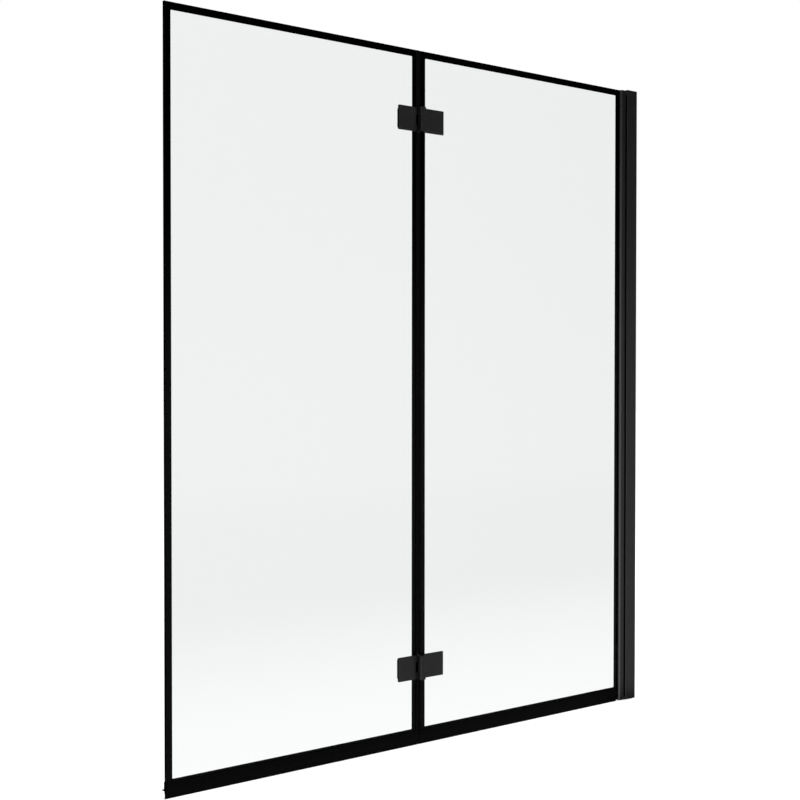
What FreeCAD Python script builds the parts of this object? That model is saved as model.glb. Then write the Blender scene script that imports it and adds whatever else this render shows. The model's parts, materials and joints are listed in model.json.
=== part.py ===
import FreeCAD, Part
from FreeCAD import Vector

# Folding bath screen in two framed glass panes, millimetres, +Z up.
# The origin is at the foot of the wall profile, on the wall: the wall is the plane X = 0, the screen runs to -X,
# -Y is the room side and +Y is the bath side. The panes' middle plane is Y = 0.

# Whole screen
screen_width = 1200.0
screen_height = 1404.0
outer_pane_width = 565.4
seam_gap = 4.7

# Glass and its printed border
glass_thickness = 6.0
glass_foot = 17.7
glass_head_drop = 1.9
glass_arris = 0.5
side_border = 14.5
bar_border = 13.5
head_border = 13.1
foot_border = 13.9
print_thickness = 0.15
print_edge_inset = 0.7
border_corner_radius = 1.5

# Wall profile and the adjusting profile inside it
profile_depth = 20.0
wall_profile_width = 32.0
wall_profile_side = 1.6
wall_profile_web = 2.0
wall_profile_corner = 1.0
adjusting_clearance = 0.3
adjusting_profile_width = 24.0
adjusting_wall = 1.5
screw_port_radius = 3.0
screw_port_wall_overlap = 0.3
screw_port_bore = 1.62
wall_hole_radius = 3.0
wall_hole_count = 3
wall_hole_end = 80.0
adjusting_screw_end = 120.0
adjusting_screw_count = 3
adjusting_screw_radius = 2.0
adjusting_screw_slack = 0.5
adjusting_screw_length = 9.0
adjusting_screw_head_radius = 3.8
adjusting_screw_head_height = 2.4
adjusting_screw_drive_radius = 1.3
adjusting_screw_drive_depth = 1.4
screw_cap_radius = 5.2
screw_cap_wall = 0.8
screw_cap_corner = 0.6
top_cap_thickness = 1.6
top_cap_plug_depth = 6.0
top_cap_corner = 1.0

# Pivot between the wall profile and the inner pane
pivot_groove = 5.0
pivot_profile_width = 15.5
pivot_mouth_corner = 5.8
pivot_groove_corner = 3.2
pivot_from_groove = 6.0
pivot_wall = 1.6
pane_tongue = 4.8
pane_notch_margin = 0.7
pane_notch_drop = 0.3
glazing_gasket_thickness = 1.0
glazing_gasket_depth = 6.0
glazing_lip_height = 0.7
glazing_lip_width = 1.8
bush_radius = 4.5
bush_length = 24.0
bush_flange_radius = 5.5
bush_flange_thickness = 1.0
bush_press_gap = 0.01
pivot_pin_radius = 2.5
pivot_pin_reach = 21.0
pivot_pin_inset = 0.8
running_fit = 0.05
axial_gap = 0.3
foot_bracket_height = 8.0
head_bracket_height = 11.2
bracket_nose_radius = 7.0
bracket_screw_radius = 1.6
bracket_screw_length = 18.0
bracket_screw_slack = 0.3
bracket_screw_head_radius = 3.3
bracket_screw_head_height = 1.8

# Folding hinges
hinge_inset = 139.8
hinge_height = 48.4
outer_plate_width = 43.0
inner_plate_width = 50.4
plate_thickness = 4.0
plate_chamfer = 0.5
plate_corner = 1.0
back_plate_inset = 5.0
plate_gasket_thickness = 1.0
plate_gasket_inset = 0.4
knuckle_width = 13.5
knuckle_depth = 12.0
knuckle_front_corner = 2.0
knuckle_offset = 2.5
outer_knuckle_space = 3.1
inner_knuckle_space = 4.0
middle_knuckle_height = 19.8
knuckle_gap = 0.4
arm_thickness = 2.2
arm_past_axis = 1.0
arm_root = 1.0
hinge_pin_radius = 2.5
hinge_pin_inset = 0.6
hinge_pin_press_gap = 0.01
hinge_bush_radius = 3.5
hinge_bush_press_gap = 0.01
hinge_screw_spacing = 24.0
hinge_screw_radius = 2.5
hinge_screw_slack = 0.02
hinge_screw_bite = 3.0
hinge_screw_tip_gap = 0.2
hinge_screw_head_radius = 4.8
hinge_screw_drive_radius = 1.8
hinge_screw_drive_depth = 1.6
glass_hole_radius = 5.0
sleeve_gap = 0.1

# Seals
seal_leg_height = 10.0
seal_leg_thickness = 1.6
seal_glass_gap = 0.2
seal_floor_thickness = 1.4
seal_wall = 1.3
seal_waist_height = 4.9
seal_waist_half_width = 1.8
seal_lip_drop = 2.2
seal_lip_thickness = 1.6
seal_lip_lean = 0.9
seal_fin_reach = 7.6
seal_fin_drop = 0.2
seal_fin_thickness = 1.2
seal_fin_root_drop = 3.6
seal_end_gap_at_pivot = 0.9
fin_end_gap_at_pivot = 5.0
outer_seal_short = 0.6
inner_seal_past_edge = 3.4
meeting_leg_reach = 8.0
meeting_leg_thickness = 1.3
meeting_web = 1.2
meeting_bulb_radius = 2.6
meeting_bulb_wall = 0.9
meeting_hinge_gap = 0.4
meeting_foot_gap = 0.1
meeting_head_drop = 0.5

# Modelling values
overrun = 1.0
same_place = 0.001

# Places across the width
glass_half = glass_thickness / 2
room_face = -glass_half
bath_face = glass_half
print_face = bath_face + print_thickness
profile_half = profile_depth / 2
pivot_profile_right = -(wall_profile_width + pivot_groove)
pivot_profile_left = pivot_profile_right - pivot_profile_width
pivot_x = pivot_profile_right - pivot_from_groove
inner_pane_right = pivot_profile_left + pane_tongue
inner_pane_notch = pivot_x - bracket_nose_radius - pane_notch_margin
outer_pane_left = -screen_width
outer_pane_right = outer_pane_left + outer_pane_width
inner_pane_left = outer_pane_right + seam_gap
seam_x = outer_pane_right + seam_gap / 2

# Places up the height
glass_head = screen_height - glass_head_drop
profile_head = screen_height - top_cap_thickness
head_bracket_foot = profile_head - head_bracket_height
pivot_foot = foot_bracket_height + axial_gap + bush_flange_thickness
pivot_head = head_bracket_foot - axial_gap - bush_flange_thickness
pane_notch_level = pivot_head - pane_notch_drop
hinge_levels = {"lower": glass_foot + hinge_inset, "upper": glass_head - hinge_inset}

# Places on a hinge
plate_back = room_face - plate_gasket_thickness
plate_front = plate_back - plate_thickness
arm_front = plate_back - arm_thickness
fold_x = seam_x - knuckle_offset
fold_y = plate_front - knuckle_depth / 2
knuckle_half = knuckle_width / 2
outer_plate_right = fold_x - knuckle_half - outer_knuckle_space
outer_plate_left = outer_plate_right - outer_plate_width
inner_plate_left = fold_x + knuckle_half + inner_knuckle_space
inner_plate_right = inner_plate_left + inner_plate_width
back_plate_height = hinge_height - back_plate_inset - back_plate_inset
back_plate_near = print_face + plate_gasket_thickness
back_plate_far = back_plate_near + plate_thickness


def box(x0, x1, y0, y1, z0, z1):
    return Part.makeBox(x1 - x0, y1 - y0, z1 - z0, Vector(x0, y0, z0))


def rod_up(radius, x, y, z0, z1):
    return Part.makeCylinder(radius, z1 - z0, Vector(x, y, z0), Vector(0, 0, 1))


def rod_back(radius, x, z, y0, y1):
    """A rod along Y, from y0 to y1."""
    return Part.makeCylinder(radius, y1 - y0, Vector(x, y0, z), Vector(0, 1, 0))


def rod_across(radius, y, z, x0, x1):
    """A rod along X, from x0 to x1."""
    return Part.makeCylinder(radius, x1 - x0, Vector(x0, y, z), Vector(1, 0, 0))


def closed_face(points):
    return Part.Face(Part.makePolygon(points + [points[0]]))


def edges_along(shape, direction):
    """The straight edges that run along a direction."""
    found = []
    for edge in shape.Edges:
        if isinstance(edge.Curve, Part.Line) and abs(edge.Curve.Direction.dot(direction)) > 1 - same_place:
            found.append(edge)
    return found


def edges_at(shape, x=None, y=None, z=None):
    """The edges that lie wholly in the given planes."""
    found = []
    for edge in shape.Edges:
        spots = [edge.valueAt(edge.FirstParameter), edge.valueAt(edge.LastParameter)]
        for spot in spots + [edge.valueAt((edge.FirstParameter + edge.LastParameter) / 2)]:
            off_x = x is not None and abs(spot.x - x) > same_place
            off_y = y is not None and abs(spot.y - y) > same_place
            off_z = z is not None and abs(spot.z - z) > same_place
            if off_x or off_y or off_z:
                break
        else:
            found.append(edge)
    return found


def spread(first, last, count):
    """Evenly spaced places from first to last."""
    return [first + (last - first) * step / (count - 1) for step in range(count)]


def save(name, shape):
    shape.exportStep("parts/" + name + ".step")
    solids = shape.Solids
    valid = all(solid.isValid() for solid in solids)
    print(name, len(solids), "valid" if valid else "NOT VALID", round(sum(solid.Volume for solid in solids), 1))


def save_group(name, shapes):
    save(name, Part.makeCompound(shapes))


# Wall profile: a channel screwed to the wall, open towards the glass
wall_hole_levels = spread(wall_hole_end, screen_height - wall_hole_end, wall_hole_count)
adjusting_screw_levels = spread(adjusting_screw_end, screen_height - adjusting_screw_end, adjusting_screw_count)
channel_half = profile_half - wall_profile_side
adjusting_half = channel_half - adjusting_clearance
adjusting_back = -wall_profile_width + adjusting_profile_width
adjusting_screw_x = -wall_profile_width + adjusting_profile_width / 2


def make_wall_profile():
    outer = box(-wall_profile_width, 0, -profile_half, profile_half, 0, profile_head)
    outer = outer.makeFillet(wall_profile_corner, edges_along(outer, Vector(0, 0, 1)))
    hollow = box(
        -wall_profile_width - overrun, -wall_profile_web, -channel_half, channel_half, -overrun, profile_head + overrun
    )
    profile = outer.cut(hollow)
    for level in wall_hole_levels:
        profile = profile.cut(rod_across(wall_hole_radius, 0, level, -wall_profile_web - overrun, overrun))
    for level in adjusting_screw_levels:
        hole = rod_back(
            adjusting_screw_radius + adjusting_screw_slack,
            adjusting_screw_x,
            level,
            channel_half - overrun,
            profile_half + overrun,
        )
        profile = profile.cut(hole)
    return profile


screw_port_xs = [
    -wall_profile_width + adjusting_wall + screw_port_radius - screw_port_wall_overlap,
    adjusting_back - adjusting_wall - screw_port_radius + screw_port_wall_overlap,
]


def make_adjusting_profile():
    """The hollow profile that slides in the wall channel to take up an uneven wall."""
    foot = foot_bracket_height
    head = head_bracket_foot
    tube = box(-wall_profile_width, adjusting_back, -adjusting_half, adjusting_half, foot, head)
    chamber = box(
        -wall_profile_width + adjusting_wall,
        adjusting_back - adjusting_wall,
        -adjusting_half + adjusting_wall,
        adjusting_half - adjusting_wall,
        foot - overrun,
        head + overrun,
    )
    tube = tube.cut(chamber)
    for x in screw_port_xs:
        tube = tube.fuse(rod_up(screw_port_radius, x, 0, foot, head))
    for x in screw_port_xs:
        tube = tube.cut(rod_up(screw_port_bore, x, 0, foot - overrun, head + overrun))
    for level in adjusting_screw_levels:
        hole = rod_back(
            adjusting_screw_radius + running_fit,
            adjusting_screw_x,
            level,
            adjusting_half - adjusting_wall - overrun,
            adjusting_half + overrun,
        )
        tube = tube.cut(hole)
    return tube.removeSplitter()


def make_adjusting_screws():
    screws = []
    for level in adjusting_screw_levels:
        seat = profile_half
        head_top = seat + adjusting_screw_head_height
        shank = rod_back(adjusting_screw_radius, adjusting_screw_x, level, head_top - adjusting_screw_length, seat)
        head = rod_back(adjusting_screw_head_radius, adjusting_screw_x, level, seat, head_top)
        drive = rod_back(
            adjusting_screw_drive_radius,
            adjusting_screw_x,
            level,
            head_top - adjusting_screw_drive_depth,
            head_top + overrun,
        )
        screws.append(shank.fuse(head).cut(drive).removeSplitter())
    return screws


def make_adjusting_screw_caps():
    caps = []
    for level in adjusting_screw_levels:
        seat = profile_half
        pocket_end = seat + adjusting_screw_head_height + running_fit
        cap = rod_back(screw_cap_radius, adjusting_screw_x, level, seat, pocket_end + screw_cap_wall)
        cap = cap.makeFillet(screw_cap_corner, edges_at(cap, y=pocket_end + screw_cap_wall))
        pocket = rod_back(
            adjusting_screw_head_radius + running_fit, adjusting_screw_x, level, seat - overrun, pocket_end
        )
        caps.append(cap.cut(pocket))
    return caps


def make_top_cap():
    """The moulded cap on the wall profile, with a plug that enters behind the adjusting profile."""
    lid = box(-wall_profile_width, 0, -profile_half, profile_half, profile_head, screen_height)
    lid = lid.makeFillet(top_cap_corner, edges_along(lid, Vector(0, 0, 1)))
    plug = box(
        adjusting_back + adjusting_clearance,
        -wall_profile_web - adjusting_clearance,
        -adjusting_half,
        adjusting_half,
        profile_head - top_cap_plug_depth,
        profile_head,
    )
    return lid.fuse(plug).removeSplitter()


# Pivot brackets, pins and bushes at the foot and the head of the inner pane
bracket_back = adjusting_back - adjusting_clearance
bracket_front = -wall_profile_width


def make_bracket(foot, head, outer_face, inward):
    """A bracket that closes the adjusting profile and reaches over the groove to the pivot axis."""
    block = box(bracket_front, bracket_back, -adjusting_half, adjusting_half, foot, head)
    neck = box(pivot_x, bracket_front + overrun, -bracket_nose_radius, bracket_nose_radius, foot, head)
    nose = rod_up(bracket_nose_radius, pivot_x, 0, foot, head)
    bracket = block.fuse([neck, nose]).removeSplitter()
    bracket = bracket.cut(rod_up(pivot_pin_radius + bush_press_gap, pivot_x, 0, foot - overrun, head + overrun))
    for x in screw_port_xs:
        bracket = bracket.cut(
            rod_up(bracket_screw_radius + bracket_screw_slack, x, 0, foot - overrun, head + overrun)
        )
        bracket = bracket.cut(
            Part.makeCone(
                bracket_screw_head_radius + bracket_screw_slack,
                bracket_screw_radius + bracket_screw_slack,
                bracket_screw_head_height,
                Vector(x, 0, outer_face),
                Vector(0, 0, inward),
            )
        )
    return bracket


def make_bracket_screws():
    screws = []
    for outer_face, inward in ((0, 1), (profile_head, -1)):
        for x in screw_port_xs:
            head = Part.makeCone(
                bracket_screw_head_radius,
                bracket_screw_radius,
                bracket_screw_head_height,
                Vector(x, 0, outer_face),
                Vector(0, 0, inward),
            )
            start = Vector(x, 0, outer_face + inward * bracket_screw_head_height)
            shank_length = bracket_screw_length - bracket_screw_head_height
            shank = Part.makeCylinder(bracket_screw_radius, shank_length, start, Vector(0, 0, inward))
            screws.append(head.fuse(shank).removeSplitter())
    return screws


def make_bush(end, inward):
    """A plain bush pressed in the end of the pivot profile, with a flange on the end face."""
    along = Vector(0, 0, inward)
    barrel = Part.makeCylinder(bush_radius, bush_length, Vector(pivot_x, 0, end), along)
    flange = Part.makeCylinder(bush_flange_radius, bush_flange_thickness, Vector(pivot_x, 0, end), -along)
    bore_start = Vector(pivot_x, 0, end - inward * (bush_flange_thickness + overrun))
    bore_length = bush_length + bush_flange_thickness + overrun + overrun
    bore = Part.makeCylinder(pivot_pin_radius + running_fit, bore_length, bore_start, along)
    return barrel.fuse(flange).cut(bore).removeSplitter()


# Pivot profile: the rounded extrusion that holds the inner pane and turns on the two pins
slot_half = glass_half + glazing_gasket_thickness


def make_pivot_profile():
    height = pivot_head - pivot_foot
    bar = box(pivot_profile_left, pivot_profile_right, -profile_half, profile_half, pivot_foot, pivot_head)
    bar = bar.makeFillet(pivot_mouth_corner, edges_at(bar, x=pivot_profile_left, y=-profile_half))
    bar = bar.makeFillet(pivot_mouth_corner, edges_at(bar, x=pivot_profile_left, y=profile_half))
    bar = bar.makeFillet(pivot_groove_corner, edges_at(bar, x=pivot_profile_right, y=-profile_half))
    bar = bar.makeFillet(pivot_groove_corner, edges_at(bar, x=pivot_profile_right, y=profile_half))
    slot = box(
        pivot_profile_left - overrun, pivot_x, -slot_half, slot_half, pivot_foot - overrun, pivot_head + overrun
    )
    bore = rod_up(bush_radius + bush_press_gap, pivot_x, 0, pivot_foot - overrun, pivot_head + overrun)
    bar = bar.cut(slot).cut(bore)
    chamber_near = bush_radius + bush_press_gap + pivot_wall
    chamber_far = profile_half - pivot_wall
    chamber_left = pivot_profile_left + pivot_mouth_corner
    chamber_right = pivot_profile_right - pivot_groove_corner
    for side in (-1, 1):
        y0, y1 = sorted((side * chamber_near, side * chamber_far))
        bar = bar.cut(box(chamber_left, chamber_right, y0, y1, pivot_foot - overrun, pivot_foot + height + overrun))
    return bar


def make_glazing_gasket(side, face):
    """One strip between the pane and the slot, with a soft lip outside the mouth."""
    y0, y1 = sorted((face, side * slot_half))
    strip = box(pivot_profile_left, pivot_profile_left + glazing_gasket_depth, y0, y1, pivot_foot, pivot_head)
    lip0, lip1 = sorted((face, face + side * glazing_lip_width))
    lip = box(pivot_profile_left - glazing_lip_height, pivot_profile_left, lip0, lip1, pivot_foot, pivot_head)
    return strip.fuse(lip).removeSplitter()


# Panes and their printed borders
def outer_outline(inset):
    x0 = outer_pane_left + inset
    x1 = outer_pane_right - inset
    z0 = glass_foot + inset
    z1 = glass_head - inset
    return [(x0, z0), (x1, z0), (x1, z1), (x0, z1)]


def inner_outline(inset):
    """The inner pane is cut back at its top pivot corner, clear of the bush and the bracket."""
    x0 = inner_pane_left + inset
    x1 = inner_pane_right - inset
    notch = inner_pane_notch - inset
    z0 = glass_foot + inset
    z1 = glass_head - inset
    high = pane_notch_level - inset
    return [(x0, z0), (x1, z0), (x1, high), (notch, high), (notch, z1), (x0, z1)]


def plate_screw_places(plate_left, plate_right):
    middle = (plate_left + plate_right) / 2
    places = []
    for level in hinge_levels.values():
        for side in (-1, 1):
            places.append((middle, level + side * hinge_screw_spacing / 2))
    return places


def slab(outline, y0, y1):
    face = closed_face([Vector(x, y0, z) for x, z in outline])
    return face.extrude(Vector(0, y1 - y0, 0))


def make_pane(outline_of, plate_left, plate_right):
    pane = slab(outline_of(0), room_face, bath_face)
    rims = edges_at(pane, y=room_face) + edges_at(pane, y=bath_face)
    pane = pane.makeChamfer(glass_arris, rims)
    for x, z in plate_screw_places(plate_left, plate_right):
        pane = pane.cut(rod_back(glass_hole_radius, x, z, room_face - overrun, bath_face + overrun))
    return pane


def make_print(outline_of, window_left, window_right, plate_left, plate_right):
    """The black border fired on the bath face of a pane."""
    ring = slab(outline_of(print_edge_inset), bath_face, print_face)
    window = box(
        window_left,
        window_right,
        bath_face - overrun,
        print_face + overrun,
        glass_foot + foot_border,
        glass_head - head_border,
    )
    window = window.makeFillet(border_corner_radius, edges_along(window, Vector(0, 1, 0)))
    ring = ring.cut(window)
    for x, z in plate_screw_places(plate_left, plate_right):
        ring = ring.cut(rod_back(glass_hole_radius, x, z, bath_face - overrun, print_face + overrun))
    return ring


# Seals
def make_bottom_seal(x0, x1, fin_x1):
    """A push-on strip: two legs on the glass, a hollow body, a lip for the bath rim and a fin on the bath side.
    The fin may end before the rest, where the screen turns past the wall profile."""
    inner = glass_half + print_thickness + seal_glass_gap
    outer = inner + seal_leg_thickness
    leg_top = glass_foot + seal_leg_height
    groove = glass_foot - seal_glass_gap
    body_top = groove - seal_floor_thickness
    lip_top = seal_waist_height
    waist = seal_waist_half_width
    fin_high = body_top - seal_fin_root_drop
    fin_low = fin_high - seal_fin_thickness
    fin_tip = outer + seal_fin_reach
    lip_front = seal_lip_lean - seal_lip_thickness / 2
    lip_back = seal_lip_lean + seal_lip_thickness / 2
    body = (body_top - fin_high) / (body_top - lip_top)
    body_low = (body_top - fin_low) / (body_top - lip_top)
    side_high = outer + (waist - outer) * body
    side_low = outer + (waist - outer) * body_low
    outline = [
        (-outer, leg_top),
        (-outer, body_top),
        (-waist, lip_top),
        (lip_front, -seal_lip_drop),
        (lip_back, -seal_lip_drop),
        (waist, lip_top),
        (outer, body_top),
        (outer, leg_top),
        (inner, leg_top),
        (inner, groove),
        (-inner, groove),
        (-inner, leg_top),
    ]
    chamber = [
        (-outer + seal_wall, body_top),
        (-waist / 2, lip_top + seal_wall),
        (waist / 2, lip_top + seal_wall),
        (outer - seal_wall, body_top),
    ]
    fin = [
        (side_low - seal_wall, fin_low),
        (side_low, fin_low),
        (fin_tip, fin_low - seal_fin_drop),
        (fin_tip, fin_high - seal_fin_drop),
        (side_high, fin_high),
        (side_low - seal_wall, fin_high),
    ]
    strip = closed_face([Vector(x0, y, z) for y, z in outline]).extrude(Vector(x1 - x0, 0, 0))
    wing = closed_face([Vector(x0, y, z) for y, z in fin]).extrude(Vector(fin_x1 - x0, 0, 0))
    hollow = closed_face([Vector(x0, y, z) for y, z in chamber]).extrude(Vector(x1 - x0, 0, 0))
    return strip.fuse(wing).removeSplitter().cut(hollow)


def meeting_seal_section(z):
    """The clip on the outer pane's edge, with a hollow bulb that closes the seam."""
    reach = outer_pane_right - meeting_leg_reach
    web_near = outer_pane_right + seal_glass_gap
    web_far = web_near + meeting_web
    half = print_face + seal_glass_gap
    outer = half + meeting_leg_thickness
    bulb = meeting_bulb_radius
    hollow = bulb - meeting_bulb_wall
    clip = closed_face(
        [
            Vector(reach, -outer, z),
            Vector(web_far, -outer, z),
            Vector(web_far, outer, z),
            Vector(reach, outer, z),
            Vector(reach, half, z),
            Vector(web_near, half, z),
            Vector(web_near, -half, z),
            Vector(reach, -half, z),
        ]
    )
    round_edge = Part.Arc(Vector(web_far, -bulb, z), Vector(web_far + bulb, 0, z), Vector(web_far, bulb, z)).toShape()
    flat_edge = Part.makeLine(Vector(web_far, bulb, z), Vector(web_far, -bulb, z))
    inner_arc = Part.Arc(
        Vector(web_far, -hollow, z), Vector(web_far + hollow, 0, z), Vector(web_far, hollow, z)
    ).toShape()
    inner_flat = Part.makeLine(Vector(web_far, hollow, z), Vector(web_far, -hollow, z))
    bulb_face = Part.Face(Part.Wire([round_edge, flat_edge]))
    hollow_face = Part.Face(Part.Wire([inner_arc, inner_flat]))
    return clip, bulb_face, hollow_face


def make_meeting_seals():
    foot = glass_foot + seal_leg_height + meeting_foot_gap
    head = glass_head - meeting_head_drop
    half_cut = hinge_height / 2 + meeting_hinge_gap
    stops = [foot]
    for level in hinge_levels.values():
        stops.append(level - half_cut)
        stops.append(level + half_cut)
    stops.append(head)
    seals = []
    for z0, z1 in zip(stops[::2], stops[1::2]):
        clip, bulb, hollow = [face.extrude(Vector(0, 0, z1 - z0)) for face in meeting_seal_section(z0)]
        seals.append(clip.fuse(bulb).removeSplitter().cut(hollow))
    return seals


# Folding hinges
def make_plate(x0, x1, y_seen, y_glass, level, height):
    """A clamp plate with rounded corners and a small chamfer round its seen face."""
    y0, y1 = sorted((y_seen, y_glass))
    plate = box(x0, x1, y0, y1, level - height / 2, level + height / 2)
    plate = plate.makeFillet(plate_corner, edges_along(plate, Vector(0, 1, 0)))
    return plate.makeChamfer(plate_chamfer, edges_at(plate, y=y_seen))


def make_knuckle(z0, z1):
    """One knuckle of the square barrel, rounded at the front."""
    knuckle = box(
        fold_x - knuckle_half, fold_x + knuckle_half, fold_y - knuckle_depth / 2, fold_y + knuckle_depth / 2, z0, z1
    )
    front = edges_at(knuckle, x=fold_x - knuckle_half, y=fold_y - knuckle_depth / 2)
    front += edges_at(knuckle, x=fold_x + knuckle_half, y=fold_y - knuckle_depth / 2)
    return knuckle.makeFillet(knuckle_front_corner, front)


def make_arm(side, plate_edge, z0, z1):
    """The recessed arm from a plate to its knuckle. side is 1 where the plate lies towards +X."""
    tip = fold_x - side * arm_past_axis
    root = plate_edge + side * arm_root
    x0, x1 = sorted((tip, root))
    flat = box(x0, x1, arm_front, plate_back, z0, z1)
    x0, x1 = sorted((tip, fold_x + side * knuckle_half))
    post = box(x0, x1, plate_front - overrun, plate_back, z0, z1)
    return flat.fuse(post)


def blind_screw_holes(x, level):
    holes = []
    for side in (-1, 1):
        z = level + side * hinge_screw_spacing / 2
        holes.append(
            rod_back(
                hinge_screw_radius + hinge_screw_slack, x, z, plate_back - hinge_screw_bite, plate_back + overrun
            )
        )
    return holes


def make_outer_leaf(level):
    """Plate with the top and bottom knuckles, on the outer pane."""
    leaf = make_plate(outer_plate_left, outer_plate_right, plate_front, plate_back, level, hinge_height)
    inner_end = middle_knuckle_height / 2 + knuckle_gap
    outer_end = hinge_height / 2
    for z0, z1 in ((level - outer_end, level - inner_end), (level + inner_end, level + outer_end)):
        leaf = leaf.fuse([make_knuckle(z0, z1), make_arm(-1, outer_plate_right, z0, z1)])
    leaf = leaf.removeSplitter()
    leaf = leaf.cut(
        rod_up(hinge_pin_radius + hinge_pin_press_gap, fold_x, fold_y, level - hinge_height, level + hinge_height)
    )
    for hole in blind_screw_holes((outer_plate_left + outer_plate_right) / 2, level):
        leaf = leaf.cut(hole)
    return leaf


def make_inner_leaf(level):
    """Plate with the middle knuckle, on the inner pane."""
    leaf = make_plate(inner_plate_left, inner_plate_right, plate_front, plate_back, level, hinge_height)
    z0 = level - middle_knuckle_height / 2
    z1 = level + middle_knuckle_height / 2
    leaf = leaf.fuse([make_knuckle(z0, z1), make_arm(1, inner_plate_left, z0, z1)]).removeSplitter()
    leaf = leaf.cut(
        rod_up(hinge_bush_radius + hinge_bush_press_gap, fold_x, fold_y, level - hinge_height, level + hinge_height)
    )
    for hole in blind_screw_holes((inner_plate_left + inner_plate_right) / 2, level):
        leaf = leaf.cut(hole)
    return leaf


def make_hinge_pin(level):
    reach = hinge_height / 2 - hinge_pin_inset
    return rod_up(hinge_pin_radius, fold_x, fold_y, level - reach, level + reach)


def make_hinge_bush(level):
    reach = middle_knuckle_height / 2
    tube = rod_up(hinge_bush_radius, fold_x, fold_y, level - reach, level + reach)
    return tube.cut(
        rod_up(hinge_pin_radius + running_fit, fold_x, fold_y, level - reach - overrun, level + reach + overrun)
    )


hinge_screw_head_height = hinge_screw_head_radius - hinge_screw_radius


def make_back_plate(x0, x1, level):
    """The smaller plate on the bath side, hidden behind the room side one."""
    plate = make_plate(x0, x1, back_plate_far, back_plate_near, level, back_plate_height)
    x = (x0 + x1) / 2
    for side in (-1, 1):
        z = level + side * hinge_screw_spacing / 2
        plate = plate.cut(
            rod_back(hinge_screw_radius + hinge_screw_slack, x, z, back_plate_near - overrun, back_plate_far)
        )
        plate = plate.cut(
            Part.makeCone(
                hinge_screw_head_radius + hinge_screw_slack,
                hinge_screw_radius + hinge_screw_slack,
                hinge_screw_head_height,
                Vector(x, back_plate_far, z),
                Vector(0, -1, 0),
            )
        )
    return plate


def make_hinge_screws(x, level):
    """Countersunk screws from the bath side, through the glass, into blind holes of the room side plate."""
    screws = []
    for side in (-1, 1):
        z = level + side * hinge_screw_spacing / 2
        head = Part.makeCone(
            hinge_screw_head_radius,
            hinge_screw_radius,
            hinge_screw_head_height,
            Vector(x, back_plate_far, z),
            Vector(0, -1, 0),
        )
        tip = plate_back - hinge_screw_bite + hinge_screw_tip_gap
        shank = rod_back(hinge_screw_radius, x, z, tip, back_plate_far - hinge_screw_head_height)
        drive = rod_back(
            hinge_screw_drive_radius, x, z, back_plate_far - hinge_screw_drive_depth, back_plate_far + overrun
        )
        screws.append(head.fuse(shank).cut(drive).removeSplitter())
    return screws


def make_plate_gasket(x0, x1, y0, y1, level, height, with_sleeves):
    """The pad between a plate and the glass. The room side one has sleeves that line the holes in the glass."""
    half = height / 2 - plate_gasket_inset
    pad = box(x0 + plate_gasket_inset, x1 - plate_gasket_inset, y0, y1, level - half, level + half)
    pad = pad.makeFillet(plate_corner, edges_along(pad, Vector(0, 1, 0)))
    x = (x0 + x1) / 2
    levels = [level - hinge_screw_spacing / 2, level + hinge_screw_spacing / 2]
    if with_sleeves:
        sleeves = [rod_back(glass_hole_radius - sleeve_gap, x, z, y1, bath_face - sleeve_gap) for z in levels]
        pad = pad.fuse(sleeves).removeSplitter()
    for z in levels:
        pad = pad.cut(rod_back(hinge_screw_radius + running_fit, x, z, y0 - overrun, print_face + y1 - y0 + overrun))
    return pad


# Wall side
save("wall_profile", make_wall_profile())
save("adjusting_profile", make_adjusting_profile())
save_group("adjusting_screws", make_adjusting_screws())
save_group("adjusting_screw_caps", make_adjusting_screw_caps())
save("wall_profile_top_cap", make_top_cap())
save("bottom_pivot_bracket", make_bracket(0, foot_bracket_height, 0, 1))
save("top_pivot_bracket", make_bracket(head_bracket_foot, profile_head, profile_head, -1))
save_group("bracket_screws", make_bracket_screws())
save("bottom_pivot_pin", rod_up(pivot_pin_radius, pivot_x, 0, pivot_pin_inset, pivot_foot + pivot_pin_reach))
save(
    "top_pivot_pin",
    rod_up(pivot_pin_radius, pivot_x, 0, pivot_head - pivot_pin_reach, profile_head - pivot_pin_inset),
)

# Inner pane
save("pivot_profile", make_pivot_profile())
save("bottom_pivot_bush", make_bush(pivot_foot, 1))
save("top_pivot_bush", make_bush(pivot_head, -1))
save("front_glazing_gasket", make_glazing_gasket(-1, room_face))
save("back_glazing_gasket", make_glazing_gasket(1, print_face))
save("inner_glass", make_pane(inner_outline, inner_plate_left, inner_plate_right))
save(
    "inner_border_print",
    make_print(
        inner_outline,
        inner_pane_left + side_border,
        inner_pane_right - bar_border,
        inner_plate_left,
        inner_plate_right,
    ),
)
save(
    "inner_bottom_seal",
    make_bottom_seal(
        inner_pane_left - inner_seal_past_edge,
        pivot_profile_left - seal_end_gap_at_pivot,
        pivot_profile_left - fin_end_gap_at_pivot,
    ),
)

# Outer pane
save("outer_glass", make_pane(outer_outline, outer_plate_left, outer_plate_right))
save(
    "outer_border_print",
    make_print(
        outer_outline,
        outer_pane_left + side_border,
        outer_pane_right - side_border,
        outer_plate_left,
        outer_plate_right,
    ),
)
outer_seal_right = outer_pane_right - outer_seal_short
save("outer_bottom_seal", make_bottom_seal(outer_pane_left, outer_seal_right, outer_seal_right))
save_group("meeting_seal", make_meeting_seals())

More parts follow.
